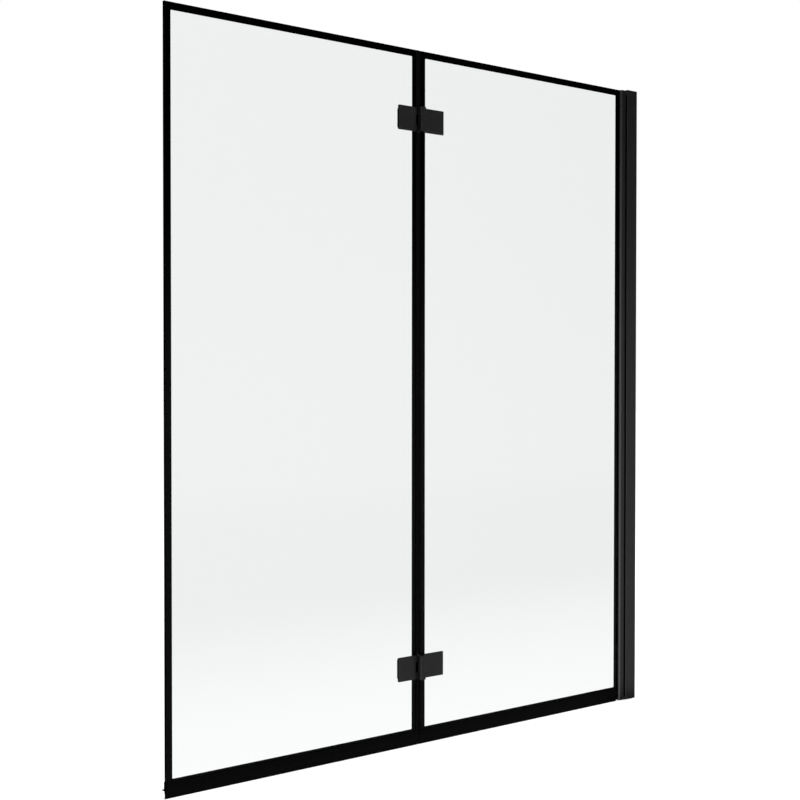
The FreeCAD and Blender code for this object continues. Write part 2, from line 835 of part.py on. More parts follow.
# Hinges
for where, level in hinge_levels.items():
    save(where + "_hinge_outer_leaf", make_outer_leaf(level))
    save(where + "_hinge_inner_leaf", make_inner_leaf(level))
    save(where + "_hinge_pin", make_hinge_pin(level))
    save(where + "_hinge_bush", make_hinge_bush(level))
    for pane, x0, x1 in (
        ("outer", outer_plate_left, outer_plate_right),
        ("inner", inner_plate_left, inner_plate_right),
    ):
        name = where + "_hinge_" + pane
        back_x0 = x0 + back_plate_inset
        back_x1 = x1 - back_plate_inset
        save(name + "_back_plate", make_back_plate(back_x0, back_x1, level))
        save(
            name + "_front_gasket",
            make_plate_gasket(x0, x1, plate_back, room_face, level, hinge_height, True),
        )
        save(
            name + "_back_gasket",
            make_plate_gasket(back_x0, back_x1, print_face, back_plate_near, level, back_plate_height, False),
        )
        save_group(name + "_screws", make_hinge_screws((x0 + x1) / 2, level))

print("wall pivot axis at", pivot_x, "0")
print("fold axis at", fold_x, fold_y)
print("hinge levels", hinge_levels)
print("wall holes at", wall_hole_levels)
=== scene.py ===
import json
import math

import bmesh
import bpy
from mathutils import Matrix, Vector

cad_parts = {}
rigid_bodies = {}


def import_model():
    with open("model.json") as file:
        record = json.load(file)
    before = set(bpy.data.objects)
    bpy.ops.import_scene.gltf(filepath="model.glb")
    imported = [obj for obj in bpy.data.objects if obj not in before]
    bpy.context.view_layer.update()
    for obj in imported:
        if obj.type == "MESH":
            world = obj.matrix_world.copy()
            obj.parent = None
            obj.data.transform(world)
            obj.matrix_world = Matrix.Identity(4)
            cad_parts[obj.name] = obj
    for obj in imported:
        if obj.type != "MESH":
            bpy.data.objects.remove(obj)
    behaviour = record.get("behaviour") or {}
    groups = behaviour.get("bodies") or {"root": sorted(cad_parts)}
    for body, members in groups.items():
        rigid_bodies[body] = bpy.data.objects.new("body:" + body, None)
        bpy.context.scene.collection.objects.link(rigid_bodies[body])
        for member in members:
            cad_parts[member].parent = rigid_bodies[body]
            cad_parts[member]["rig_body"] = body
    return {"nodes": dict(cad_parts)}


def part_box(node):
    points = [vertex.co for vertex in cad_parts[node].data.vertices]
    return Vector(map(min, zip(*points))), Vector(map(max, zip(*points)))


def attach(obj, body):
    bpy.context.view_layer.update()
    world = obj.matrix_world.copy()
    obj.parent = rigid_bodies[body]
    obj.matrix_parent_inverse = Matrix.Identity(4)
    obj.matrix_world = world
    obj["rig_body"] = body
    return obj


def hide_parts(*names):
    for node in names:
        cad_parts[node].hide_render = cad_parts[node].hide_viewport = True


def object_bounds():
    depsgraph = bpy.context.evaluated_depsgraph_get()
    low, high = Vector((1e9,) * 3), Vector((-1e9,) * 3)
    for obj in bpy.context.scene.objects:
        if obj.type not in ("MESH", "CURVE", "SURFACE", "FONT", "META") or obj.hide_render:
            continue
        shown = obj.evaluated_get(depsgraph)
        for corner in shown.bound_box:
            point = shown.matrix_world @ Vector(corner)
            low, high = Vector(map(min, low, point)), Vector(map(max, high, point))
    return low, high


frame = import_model()
cad_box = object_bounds()

# Folding bath screen in two framed glass panes, metres, +Z up.
# The wall is the plane X = 0 and the screen runs to -X. -Y is the room side, +Y the bath side.
mm = 0.001
nodes = frame["nodes"]
hinge_names = ("lower", "upper")
pane_names = ("inner", "outer")

# Glass. The three faces are places in a pane's list of materials.
pane_notch_margin = 0.7 * mm
pane_notch_drop = 0.3 * mm
glass_arris = 0.5 * mm
glass_hole_radius = 5.0 * mm
side_border = 14.5 * mm
bar_border = 13.5 * mm
head_border = 13.1 * mm
foot_border = 13.9 * mm
border_corner_radius = 1.5 * mm
hole_steps = 24
glass_face, print_face, edge_face = range(3)
glass_tint = (0.973, 0.995, 0.988, 1)
glass_shadow_tint = (0.93, 0.94, 0.935, 1)
glass_ior = 1.45
glass_roughness = (0.0, 0.012)
glass_mark_size = 60 * mm

# Hinges. A screw's socket is a radius and a depth.
hinge_screw_spacing = 24.0 * mm
hinge_screw_radius = 2.5 * mm
hinge_screw_head_radius = 4.8 * mm
hinge_screw_socket = (1.8 * mm, 1.6 * mm)
screw_sleeve_gap = 0.1 * mm
screw_hole_gap = 0.05 * mm
pad_corner = 1.0 * mm
pad_edge = 0.2 * mm

# Seals. A round is the radius of a soft corner.
seal_glass_gap = 0.2 * mm
seal_leg_height = 10.0 * mm
seal_leg_thickness = 1.6 * mm
seal_floor_thickness = 1.4 * mm
seal_wall = 1.3 * mm
seal_waist_half_width = 1.8 * mm
seal_waist_height = 7.1 * mm
seal_lip_lean = 0.9 * mm
seal_lip_root = 1.6 * mm
seal_fin_root_drop = 3.6 * mm
seal_fin_drop = 0.2 * mm
seal_fin_thickness = 1.2 * mm
seal_fin_end_gap = 5.0 * mm
seal_leg_round = 0.7 * mm
seal_mouth_round = 0.6 * mm
seal_groove_round = 0.3 * mm
seal_shoulder_round = 2.0 * mm
seal_waist_round = 1.5 * mm
seal_bath_side_round = 1.0 * mm
seal_lip_round = 0.5 * mm
seal_fin_round = 0.4 * mm
chamber_top_round = 0.8 * mm
chamber_foot_round = 0.6 * mm
meeting_hinge_gap = 0.4 * mm
meeting_leg_reach = 8.0 * mm
meeting_leg_thickness = 1.3 * mm
meeting_web = 1.2 * mm
meeting_bulb_radius = 2.6 * mm
meeting_bulb_wall = 0.9 * mm
meeting_bulb_gap = 0.1 * mm
meeting_bulb_roundness = 0.95
meeting_leg_round = 0.6 * mm
meeting_mouth_round = 0.5 * mm
meeting_web_round = 0.9 * mm
meeting_root_round = 0.3 * mm
meeting_groove_round = 0.2 * mm
glazing_lip_height = 0.7 * mm
glazing_lip_width = 1.8 * mm
glazing_slot_half_width = 4.0 * mm
glazing_lip_round = 0.5 * mm
glazing_lip_side_round = 0.2 * mm
glazing_heel_round = 0.3 * mm
glazing_tip_round = 0.1 * mm

# Wall side
machined_edge = 0.25 * mm
moulded_edge = 0.4 * mm
cover_rim_radius = 0.9 * mm
cover_rim_turns = [math.radians(angle) for angle in range(0, 91, 15)]
pin_chamfer = 0.4 * mm
bracket_screw_radius = 1.6 * mm
bracket_screw_length = 18.0 * mm
bracket_screw_head_radius = 3.3 * mm
bracket_screw_head_height = 1.8 * mm
bracket_screw_socket = (1.1 * mm, 1.0 * mm)
screw_head_rim = 0.08
socket_sides = 6

# Modelling
same_place = 0.005 * mm
no_length = 0.0005 * mm
turned_steps = 48
corner_steps = 5
edge_steps = 2
sharp_angle = math.radians(34)
flat_angle = math.radians(0.6)

# Finishes
coat_mark_size = 30 * mm
coat_tone_range = (0.8, 1.2)
wear_break_scale = 90.0
mark_contrast = (0.3, 0.7)


# Shader node helpers
def add_node(tree, kind, inputs=(), **settings):
    """A shader node. Each input is a plain value, or another node's output that is linked to it."""
    made = tree.nodes.new(kind)
    for name, value in settings.items():
        setattr(made, name, value)
    for name, value in dict(inputs).items():
        if isinstance(value, bpy.types.NodeSocket):
            tree.links.new(value, made.inputs[name])
        else:
            made.inputs[name].default_value = value
    return made


def new_group(name, inputs, outputs):
    """An empty shader node group with named inputs and outputs, and its two end nodes."""
    group = bpy.data.node_groups.new(name, "ShaderNodeTree")
    for socket_name, kind, value in inputs:
        socket = group.interface.new_socket(socket_name, in_out="INPUT", socket_type=kind)
        socket.default_value = value
    for socket_name, kind in outputs:
        group.interface.new_socket(socket_name, in_out="OUTPUT", socket_type=kind)
    return group, group.nodes.new("NodeGroupInput"), group.nodes.new("NodeGroupOutput")


def use_group(tree, group, **inputs):
    """A group placed in a material, with the material's own values."""
    placed = tree.nodes.new("ShaderNodeGroup")
    placed.node_tree = group
    for name, value in inputs.items():
        placed.inputs[name.replace("_", " ").capitalize()].default_value = value
    return placed


def math_node(tree, operation, first, second=0.0, clamp=False):
    made = add_node(tree, "ShaderNodeMath", {0: first, 1: second}, operation=operation, use_clamp=clamp)
    return made.outputs[0]


def mix_colours(tree, factor, first, second):
    made = add_node(tree, "ShaderNodeMix", {"Factor": factor, 6: first, 7: second}, data_type="RGBA")
    return made.outputs[2]


def mix_values(tree, factor, first, second):
    made = add_node(tree, "ShaderNodeMix", {"Factor": factor, 2: first, 3: second}, data_type="FLOAT")
    return made.outputs[0]


def cell_noise(tree, place, cell, detail, roughness):
    """Noise in cells of a given size along each axis."""
    cells = add_node(tree, "ShaderNodeVectorMath", {0: place, 1: cell}, operation="DIVIDE").outputs[0]
    values = {"Vector": cells, "Scale": 1.0, "Detail": detail, "Roughness": roughness}
    return add_node(tree, "ShaderNodeTexNoise", values).outputs[0]


def make_grain_group():
    """The fine relief of a coat or a moulding, in cells of a given size, and broad soft patches of tone."""
    group, start, end = new_group(
        "fine grain",
        [("Cell", "NodeSocketVector", (mm, mm, mm)), ("Patch", "NodeSocketVector", (mm, mm, mm))],
        [("Height", "NodeSocketFloat"), ("Patches", "NodeSocketFloat")],
    )
    place = add_node(group, "ShaderNodeTexCoord").outputs["Object"]
    height = cell_noise(group, place, start.outputs["Cell"], detail=2.0, roughness=0.55)
    patches = cell_noise(group, place, start.outputs["Patch"], detail=3.0, roughness=0.5)
    group.links.new(height, end.inputs["Height"])
    group.links.new(patches, end.inputs["Patches"])
    return group


def make_wear_group():
    """A mask of edges that are rubbed brighter, broken up so that it isn't an even line."""
    group, start, end = new_group(
        "rubbed edges",
        [("Width", "NodeSocketFloat", mm), ("Amount", "NodeSocketFloat", 1.0)],
        [("Mask", "NodeSocketFloat")],
    )
    softened = add_node(group, "ShaderNodeBevel", {"Radius": start.outputs["Width"]}, samples=4)
    surface = add_node(group, "ShaderNodeNewGeometry").outputs["Normal"]
    pair = {0: softened.outputs[0], 1: surface}
    likeness = add_node(group, "ShaderNodeVectorMath", pair, operation="DOT_PRODUCT")
    bend = math_node(group, "SUBTRACT", 1.0, likeness.outputs["Value"], clamp=True)
    strong = math_node(group, "MULTIPLY", bend, start.outputs["Amount"])
    place = add_node(group, "ShaderNodeTexCoord").outputs["Object"]
    values = {"Vector": place, "Scale": wear_break_scale, "Detail": 4.0}
    broken = add_node(group, "ShaderNodeTexNoise", values)
    mask = math_node(group, "MULTIPLY", strong, broken.outputs[0], clamp=True)
    group.links.new(mask, end.inputs["Mask"])
    return group


def make_marks_group():
    """Roughness between a least and a most value, in the cloudy marks that wiping and water leave."""
    group, start, end = new_group(
        "handling marks",
        [
            ("Size", "NodeSocketFloat", coat_mark_size),
            ("Least", "NodeSocketFloat", 0.3),
            ("Most", "NodeSocketFloat", 0.5),
        ],
        [("Roughness", "NodeSocketFloat")],
    )
    place = add_node(group, "ShaderNodeTexCoord").outputs["Object"]
    scale = math_node(group, "DIVIDE", 1.0, start.outputs["Size"])
    values = {"Vector": place, "Scale": scale, "Detail": 6.0, "Roughness": 0.6}
    clouds = add_node(group, "ShaderNodeTexNoise", values)
    spread = add_node(
        group,
        "ShaderNodeMapRange",
        {
            "Value": clouds.outputs[0],
            "From Min": mark_contrast[0],
            "From Max": mark_contrast[1],
            "To Min": start.outputs["Least"],
            "To Max": start.outputs["Most"],
        },
    )
    group.links.new(spread.outputs[0], end.inputs["Roughness"])
    return group


grain_group = make_grain_group()
wear_group = make_wear_group()
marks_group = make_marks_group()


def new_material(name):
    """A material with its node tree and its main shader."""
    material = bpy.data.materials.new(name)
    material.use_nodes = True
    tree = material.node_tree
    shader = tree.nodes["Principled BSDF"]
    return material, tree, shader


def coated(
    name, colour, worn, cell, depth, roughness, wear_width, wear_amount, patch, specular=0.5, ior=1.5
):
    """A solid finish with fine relief, cloudy marks, soft tone patches and brighter rubbed edges."""
    material, tree, shader = new_material(name)
    grain = use_group(tree, grain_group, cell=cell, patch=patch)
    wear = use_group(tree, wear_group, width=wear_width, amount=wear_amount)
    marks = use_group(tree, marks_group, size=coat_mark_size, least=roughness[0], most=roughness[1])
    darker, lighter = ([channel * share for channel in colour] for share in coat_tone_range)
    tone = mix_colours(tree, grain.outputs["Patches"], (*darker, 1), (*lighter, 1))
    rubbed = mix_colours(tree, wear.outputs["Mask"], tone, (*worn, 1))
    bumps = {"Height": grain.outputs["Height"], "Distance": depth, "Strength": 1.0}
    relief = add_node(tree, "ShaderNodeBump", bumps)
    tree.links.new(rubbed, shader.inputs["Base Color"])
    tree.links.new(marks.outputs["Roughness"], shader.inputs["Roughness"])
    tree.links.new(relief.outputs[0], shader.inputs["Normal"])
    shader.inputs["Specular IOR Level"].default_value = specular
    shader.inputs["IOR"].default_value = ior
    return material


def make_glass():
    """Clear safety glass. Shadows pass through it, so that the panes don't darken the floor."""
    material, tree, shader = new_material("clear safety glass")
    least, most = glass_roughness
    marks = use_group(tree, marks_group, size=glass_mark_size, least=least, most=most)
    tree.links.new(marks.outputs["Roughness"], shader.inputs["Roughness"])
    shader.inputs["Base Color"].default_value = glass_tint
    shader.inputs["IOR"].default_value = glass_ior
    shader.inputs["Transmission Weight"].default_value = 1.0
    shadow = add_node(tree, "ShaderNodeLightPath").outputs["Is Shadow Ray"]
    clear = add_node(tree, "ShaderNodeBsdfTransparent", {"Color": glass_shadow_tint})
    mixed = add_node(tree, "ShaderNodeMixShader", {0: shadow, 1: shader.outputs[0], 2: clear.outputs[0]})
    tree.links.new(mixed.outputs[0], tree.nodes["Material Output"].inputs["Surface"])
    return material


powder_coat = coated(
    "black powder coat",
    colour=(0.0035, 0.0035, 0.0036),
    worn=(0.015, 0.015, 0.0155),
    cell=(0.7 * mm, 0.7 * mm, 0.7 * mm),
    depth=0.004 * mm,
    roughness=(0.28, 0.34),
    wear_width=0.5 * mm,
    wear_amount=1.2,
    patch=(40 * mm, 40 * mm, 160 * mm),
    specular=1.0,
    ior=1.9,
)
# Partly painted light: the hinge enamel is its own black, made a little lighter than the powder coat to stand
# in for the stronger light on the hinges.
hinge_paint_with_painted_light = coated(
    "black hinge enamel",
    colour=(0.0075, 0.0075, 0.0077),
    worn=(0.02, 0.02, 0.0206),
    cell=(0.35 * mm, 0.35 * mm, 0.35 * mm),
    depth=0.004 * mm,
    roughness=(0.30, 0.36),
    wear_width=0.4 * mm,
    wear_amount=1.5,
    patch=(20 * mm, 20 * mm, 20 * mm),
    specular=1.0,
    ior=1.6,
)
border_enamel = coated(
    "black ceramic print",
    colour=(0.0015, 0.0015, 0.0016),
    worn=(0.003, 0.003, 0.003),
    cell=(0.15 * mm, 0.15 * mm, 0.15 * mm),
    depth=0.002 * mm,
    roughness=(0.28, 0.36),
    wear_width=0.3 * mm,
    wear_amount=0.5,
    patch=(60 * mm, 60 * mm, 60 * mm),
    specular=0.3,
)
bonded_enamel = coated(
    "print seen through the glass",
    colour=(0.0006, 0.0006, 0.0007),
    worn=(0.0006, 0.0006, 0.0007),
    cell=(0.15 * mm, 0.15 * mm, 0.15 * mm),
    depth=0.001 * mm,
    roughness=(0.6, 0.7),
    wear_width=0.3 * mm,
    wear_amount=0.0,
    patch=(60 * mm, 60 * mm, 60 * mm),
    specular=0.0,
)
# Painted reflection: the clear glass edges and hole walls are coloured black in place of the dark print and
# surroundings that they mirror.
edge_painted_reflection = coated(
    "glass edge with painted dark reflection",
    colour=(0.001, 0.001, 0.0011),
    worn=(0.002, 0.002, 0.002),
    cell=(0.3 * mm, 0.3 * mm, 0.3 * mm),
    depth=0.004 * mm,
    roughness=(0.5, 0.6),
    wear_width=0.3 * mm,
    wear_amount=0.5,
    patch=(40 * mm, 40 * mm, 40 * mm),
    specular=0.1,
)
rubber = {
    "colour": (0.0012, 0.0012, 0.0013),
    "worn": (0.004, 0.004, 0.004),
    "depth": 0.01 * mm,
    "roughness": (0.55, 0.7),
    "wear_width": 0.4 * mm,
    "wear_amount": 1.5,
    "specular": 0.15,
}
seal_rubber = coated(
    "black seal rubber",
    cell=(12 * mm, 0.25 * mm, 0.25 * mm),
    patch=(120 * mm, 8 * mm, 8 * mm),
    **rubber,
)
upright_rubber = coated(
    "black upright seal rubber",
    cell=(0.25 * mm, 0.25 * mm, 12 * mm),
    patch=(8 * mm, 8 * mm, 120 * mm),
    **rubber,
)
moulded_plastic = coated(
    "black moulded plastic",
    colour=(0.010, 0.010, 0.0105),
    worn=(0.03, 0.03, 0.031),
    cell=(0.3 * mm, 0.3 * mm, 0.3 * mm),
    depth=0.015 * mm,
    roughness=(0.5, 0.62),
    wear_width=0.4 * mm,
    wear_amount=1.2,
    patch=(12 * mm, 12 * mm, 12 * mm),
)
turned_steel = coated(
    "turned stainless steel",
    colour=(0.52, 0.52, 0.51),
    worn=(0.7, 0.7, 0.69),
    cell=(0.5 * mm, 0.5 * mm, 0.08 * mm),
    depth=0.006 * mm,
    roughness=(0.28, 0.4),
    wear_width=0.2 * mm,
    wear_amount=2.0,
    patch=(6 * mm, 6 * mm, 6 * mm),
)
turned_steel.node_tree.nodes["Principled BSDF"].inputs["Metallic"].default_value = 1.0
clear_glass = make_glass()


# Mesh helpers
def place_mesh(bm, name, materials):
    """Puts a mesh into the scene with its materials."""
    mesh = bpy.data.meshes.new(name)
    bm.to_mesh(mesh)
    bm.free()
    for material in materials:
        mesh.materials.append(material)
    placed = bpy.data.objects.new(name, mesh)
    bpy.context.scene.collection.objects.link(placed)
    return placed


def settle_order(parts, place):
    """Sorts a mesh's parts by where they are, so that each run has them in the same order."""
    ranks = {part: rank for rank, part in enumerate(sorted(parts, key=place))}
    parts.sort(key=ranks.get)


def finish_piece(bm, name, materials, body, slot, *stands_for, even=True):
    """Turns a mesh into a piece of one body, without faces that have no area. An even piece is smooth over
    its round stretches and sharp at its real edges, and any other is shaded flat."""
    bmesh.ops.dissolve_degenerate(bm, edges=bm.edges[:], dist=no_length)
    bmesh.ops.recalc_face_normals(bm, faces=bm.faces[:])
    for face in bm.faces:
        face.smooth = even
    for edge in bm.edges:
        edge.smooth = edge.calc_face_angle(0) < sharp_angle
    settle_order(bm.verts, lambda vert: tuple(vert.co))
    settle_order(bm.edges, lambda edge: sorted(tuple(vert.co) for vert in edge.verts))
    settle_order(bm.faces, lambda face: sorted(tuple(vert.co) for vert in face.verts))
    piece = place_mesh(bm, name, materials)
    if even:
        level = piece.modifiers.new("level faces", "WEIGHTED_NORMAL")
        level.keep_sharp = True
    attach(piece, body)
    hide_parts(*stands_for)


def add_outline(bm, points):
    """A closed outline with rounded corners. Each point is a place and its corner radius."""
    corners = {}
    verts = []
    for place, radius in points:
        verts.append(bm.verts.new(place))
        if radius:
            corners.setdefault(radius, []).append(verts[-1])
    before = set(bm.faces)
    bm.faces.new(verts)
    for radius, group in corners.items():
        bmesh.ops.bevel(
            bm,
            geom=group,
            offset=radius,
            affect="VERTICES",
            segments=corner_steps,
            profile=0.5,
            material=-1,
            clamp_overlap=True,
        )
    face = next(face for face in bm.faces if face not in before)
    edges = face.edges[:]
    bmesh.ops.delete(bm, geom=[face], context="FACES_ONLY")
    return edges


def rectangle(left, right, foot, head, y, radius):
    """The points of an upright rectangle that faces the room, with one radius for its corners."""
    corners = [(left, foot), (right, foot), (right, head), (left, head)]
    return [(Vector((x, y, z)), radius) for x, z in corners]


def add_circle(bm, centre, radius, steps, turn):
    """A closed circle round a point, whose edges come in a fixed order. Turn is the matrix that lays it
    square to its hole."""
    made = bmesh.ops.create_circle(
        bm, cap_ends=False, segments=steps, radius=radius, matrix=Matrix.Translation(centre) @ turn
    )
    edges = {edge for vert in made["verts"] for edge in vert.link_edges}
    return sorted(edges, key=lambda edge: tuple(edge.verts[0].co + edge.verts[1].co))


across = {"y": Matrix.Rotation(math.radians(90), 4, "X"), "z": Matrix.Identity(4)}
directions = {"x": Vector((1, 0, 0)), "y": Vector((0, 1, 0)), "z": Vector((0, 0, 1))}


def fill_flat(bm, edges):
    """Closes a flat outline that may have holes, and gives the new faces."""
    before = set(bm.faces)
    bmesh.ops.triangle_fill(bm, edges=edges, use_beauty=True, use_dissolve=False)
    return [face for face in bm.faces if face not in before]


def extrude_section(bm, faces, direction, length):
    """Pulls a flat section into a closed straight piece."""
    pulled = bmesh.ops.extrude_face_region(bm, geom=faces)
    verts = [item for item in pulled["geom"] if isinstance(item, bmesh.types.BMVert)]
    bmesh.ops.translate(bm, verts=verts, vec=direction * length)


def soften_edges(bm, width):
    """Rounds every edge that turns sharply."""
    bmesh.ops.recalc_face_normals(bm, faces=bm.faces[:])
    sharp = [edge for edge in bm.edges if edge.calc_face_angle(0) > sharp_angle]
    bmesh.ops.bevel(
        bm,
        geom=sharp,
        offset=width,
        affect="EDGES",
        segments=edge_steps,
        profile=0.5,
        material=-1,
        clamp_overlap=True,
    )


def finished_copy(node, name, material, slot, edge):
    """A piece with a CAD node's own shape, whose edges are softened so that they catch the light."""
    bm = bmesh.new()
    bm.from_mesh(nodes[node].data)
    bmesh.ops.remove_doubles(bm, verts=bm.verts[:], dist=same_place)
    bmesh.ops.dissolve_limit(bm, angle_limit=flat_angle, verts=bm.verts[:], edges=bm.edges[:])
    soften_edges(bm, edge)
    finish_piece(bm, name, [material], nodes[node]["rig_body"], slot, node)


def add_turned(bm, centre, direction, outline):
    """A turned shape. Its outline gives radius and place along the direction, and is solid if it starts and
    ends on the axis."""
    side = Vector((direction.z, direction.x, direction.y))
    verts = [bm.verts.new(centre + side * radius + direction * along) for radius, along in outline]
    edges = [bm.edges.new(pair) for pair in zip(verts, verts[1:])]
    bmesh.ops.spin(
        bm,
        geom=verts + edges,
        cent=centre,
        axis=direction,
        angle=math.radians(360),
        steps=turned_steps,
        use_merge=True,
    )
    bmesh.ops.remove_doubles(bm, verts=bm.verts[:], dist=same_place)


def add_socket_screw(bm, top, direction, length, shank_radius, head, socket):
    """A countersunk screw with a hexagon socket. Top is the middle of its head, and direction points to its
    tip. Head and socket are each a radius and a depth."""
    head_radius, head_height = head
    socket_radius, socket_depth = socket
    outline = (
        (head_radius, 0),
        (head_radius, head_height * screw_head_rim),
        (shank_radius, head_height),
        (shank_radius, length - pin_chamfer),
        (shank_radius - pin_chamfer, length),
        (0, length),
    )
    add_turned(bm, top, direction, outline)
    rim = [edge for edge in bm.edges if edge.is_boundary]
    axis = "y" if abs(direction.y) > abs(direction.z) else "z"
    hexagon = add_circle(bm, top, socket_radius, socket_sides, across[axis])
    fill_flat(bm, rim + hexagon)
    pushed = bmesh.ops.extrude_edge_only(bm, edges=hexagon)
    bottom = [item for item in pushed["geom"] if isinstance(item, bmesh.types.BMVert)]
    bmesh.ops.translate(bm, verts=bottom, vec=direction * socket_depth)
    fill_flat(bm, [edge for edge in bm.edges if edge.is_boundary])


# Glass panes
def pane_outline(pane):
    """The corners of a pane. The inner one is cut back at its top pivot corner."""
    low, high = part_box(pane + "_glass")
    if pane == "outer":
        return [(low.x, low.z), (high.x, low.z), (high.x, high.z), (low.x, high.z)]
    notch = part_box("top_pivot_bracket")[0].x - pane_notch_margin
    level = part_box("pivot_profile")[1].z - pane_notch_drop
    cut_back = [(high.x, level), (notch, level), (notch, high.z)]
    return [(low.x, low.z), (high.x, low.z), *cut_back, (low.x, high.z)]


def hinge_screw_places(where, pane):
    """The middle of each of a plate's two screws, as (x, z)."""
    low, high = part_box(f"{where}_hinge_{pane}_back_plate")
    middle = (low + high) / 2
    return [(middle.x, middle.z + side * hinge_screw_spacing / 2) for side in (-1, 1)]


def make_pane(pane):
    """One pane: edges painted black as a painted dark reflection, drilled holes, and black faces where the
    print is fired on its bath face.
    """
    low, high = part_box(pane + "_glass")
    bm = bmesh.new()
    sheet = bm.faces.new([bm.verts.new((x, high.y, z)) for x, z in pane_outline(pane)])
    extrude_section(bm, [sheet], directions["y"], low.y - high.y)
    rims = [edge for edge in bm.edges if abs(edge.verts[0].co.y - edge.verts[1].co.y) < same_place]
    bmesh.ops.bevel(
        bm, geom=rims, offset=glass_arris, affect="EDGES", segments=edge_steps, profile=0.5, material=-1
    )
    rim = {}
    for y in (low.y, high.y):
        cap = [face for face in bm.faces if all(abs(vert.co.y - y) < same_place for vert in face.verts)]
        rim[y] = cap[0].edges[:]
        bmesh.ops.delete(bm, geom=cap, context="FACES_ONLY")
    holes = {low.y: [], high.y: []}
    for where in hinge_names:
        for x, z in hinge_screw_places(where, pane):
            loops = []
            for y in (low.y, high.y):
                loop = add_circle(bm, Vector((x, y, z)), glass_hole_radius, hole_steps, across["y"])
                holes[y] += loop
                loops += loop
            bmesh.ops.bridge_loops(bm, edges=loops)
    # Painted reflection: edges and hole walls take the black edge colour, in place of what clear glass edges
    # mirror.
    for face in bm.faces:
        face.material_index = edge_face
    left = low.x + side_border
    right = high.x - (bar_border if pane == "inner" else side_border)
    foot, head = low.z + foot_border, high.z - head_border
    window = add_outline(bm, rectangle(left, right, foot, head, high.y, border_corner_radius))
    for face in fill_flat(bm, rim[low.y] + holes[low.y]) + fill_flat(bm, window):
        face.material_index = glass_face
    for face in fill_flat(bm, rim[high.y] + window + holes[high.y]):
        face.material_index = print_face
    finish_piece(
        bm,
        pane + "_pane",
        [clear_glass, bonded_enamel, edge_painted_reflection],
        pane + "_panel",
        "clear_glass",
        pane + "_glass",
        even=False,
    )


# Seals and gaskets
def make_bottom_seal(pane):
    """A push-on strip: two legs on the glass, a hollow body, a lip for the bath rim and a fin on the bath
    side. The inner pane's fin ends early, where the screen turns past the wall profile."""
    node = pane + "_bottom_seal"
    low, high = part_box(node)
    fin_end = high.x if pane == "outer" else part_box("pivot_profile")[0].x - seal_fin_end_gap
    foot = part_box(pane + "_glass")[0].z
    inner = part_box(pane + "_border_print")[1].y + seal_glass_gap
    outer = inner + seal_leg_thickness
    leg_top = foot + seal_leg_height
    groove = foot - seal_glass_gap
    body_top = groove - seal_floor_thickness
    waist_z = low.z + seal_waist_height
    waist = seal_waist_half_width
    fin_high = body_top - seal_fin_root_drop
    fin_low = fin_high - seal_fin_thickness
    slope = (waist - outer) / (body_top - waist_z)
    side_high = outer + slope * (body_top - fin_high)
    side_low = outer + slope * (body_top - fin_low)
    lip_half = seal_lip_root / 2

    def at(y, z, radius=0.0):
        return Vector((low.x, y, z)), radius

    outline = [
        at(-outer, leg_top, seal_leg_round),
        at(-outer, body_top, seal_shoulder_round),
        at(-waist, waist_z, seal_waist_round),
        at(seal_lip_lean - lip_half, low.z, seal_lip_round),
        at(seal_lip_lean + lip_half, low.z, seal_lip_round),
        at(waist, waist_z, seal_bath_side_round),
        at(outer, body_top, seal_bath_side_round),
        at(outer, leg_top, seal_leg_round),
        at(inner, leg_top, seal_mouth_round),
        at(inner, groove, seal_groove_round),
        at(-inner, groove, seal_groove_round),
        at(-inner, leg_top, seal_mouth_round),
    ]
    chamber = [
        at(-outer + seal_wall, body_top, chamber_top_round),
        at(-waist / 2, waist_z + seal_wall, chamber_foot_round),
        at(waist / 2, waist_z + seal_wall, chamber_foot_round),
        at(outer - seal_wall, body_top, chamber_top_round),
    ]
    fin = [
        at(side_low - seal_wall / 2, fin_low),
        at(side_low, fin_low),
        at(high.y, fin_low - seal_fin_drop, seal_fin_round),
        at(high.y, fin_high - seal_fin_drop, seal_fin_round),
        at(side_high, fin_high),
        at(side_low - seal_wall / 2, fin_high),
    ]
    bm = bmesh.new()
    edges = add_outline(bm, outline) + add_outline(bm, chamber)
    extrude_section(bm, fill_flat(bm, edges), directions["x"], high.x - low.x)
    extrude_section(bm, fill_flat(bm, add_outline(bm, fin)), directions["x"], fin_end - low.x)
    finish_piece(bm, pane + "_drip_seal", [seal_rubber], pane + "_panel", "black_rubber", node)


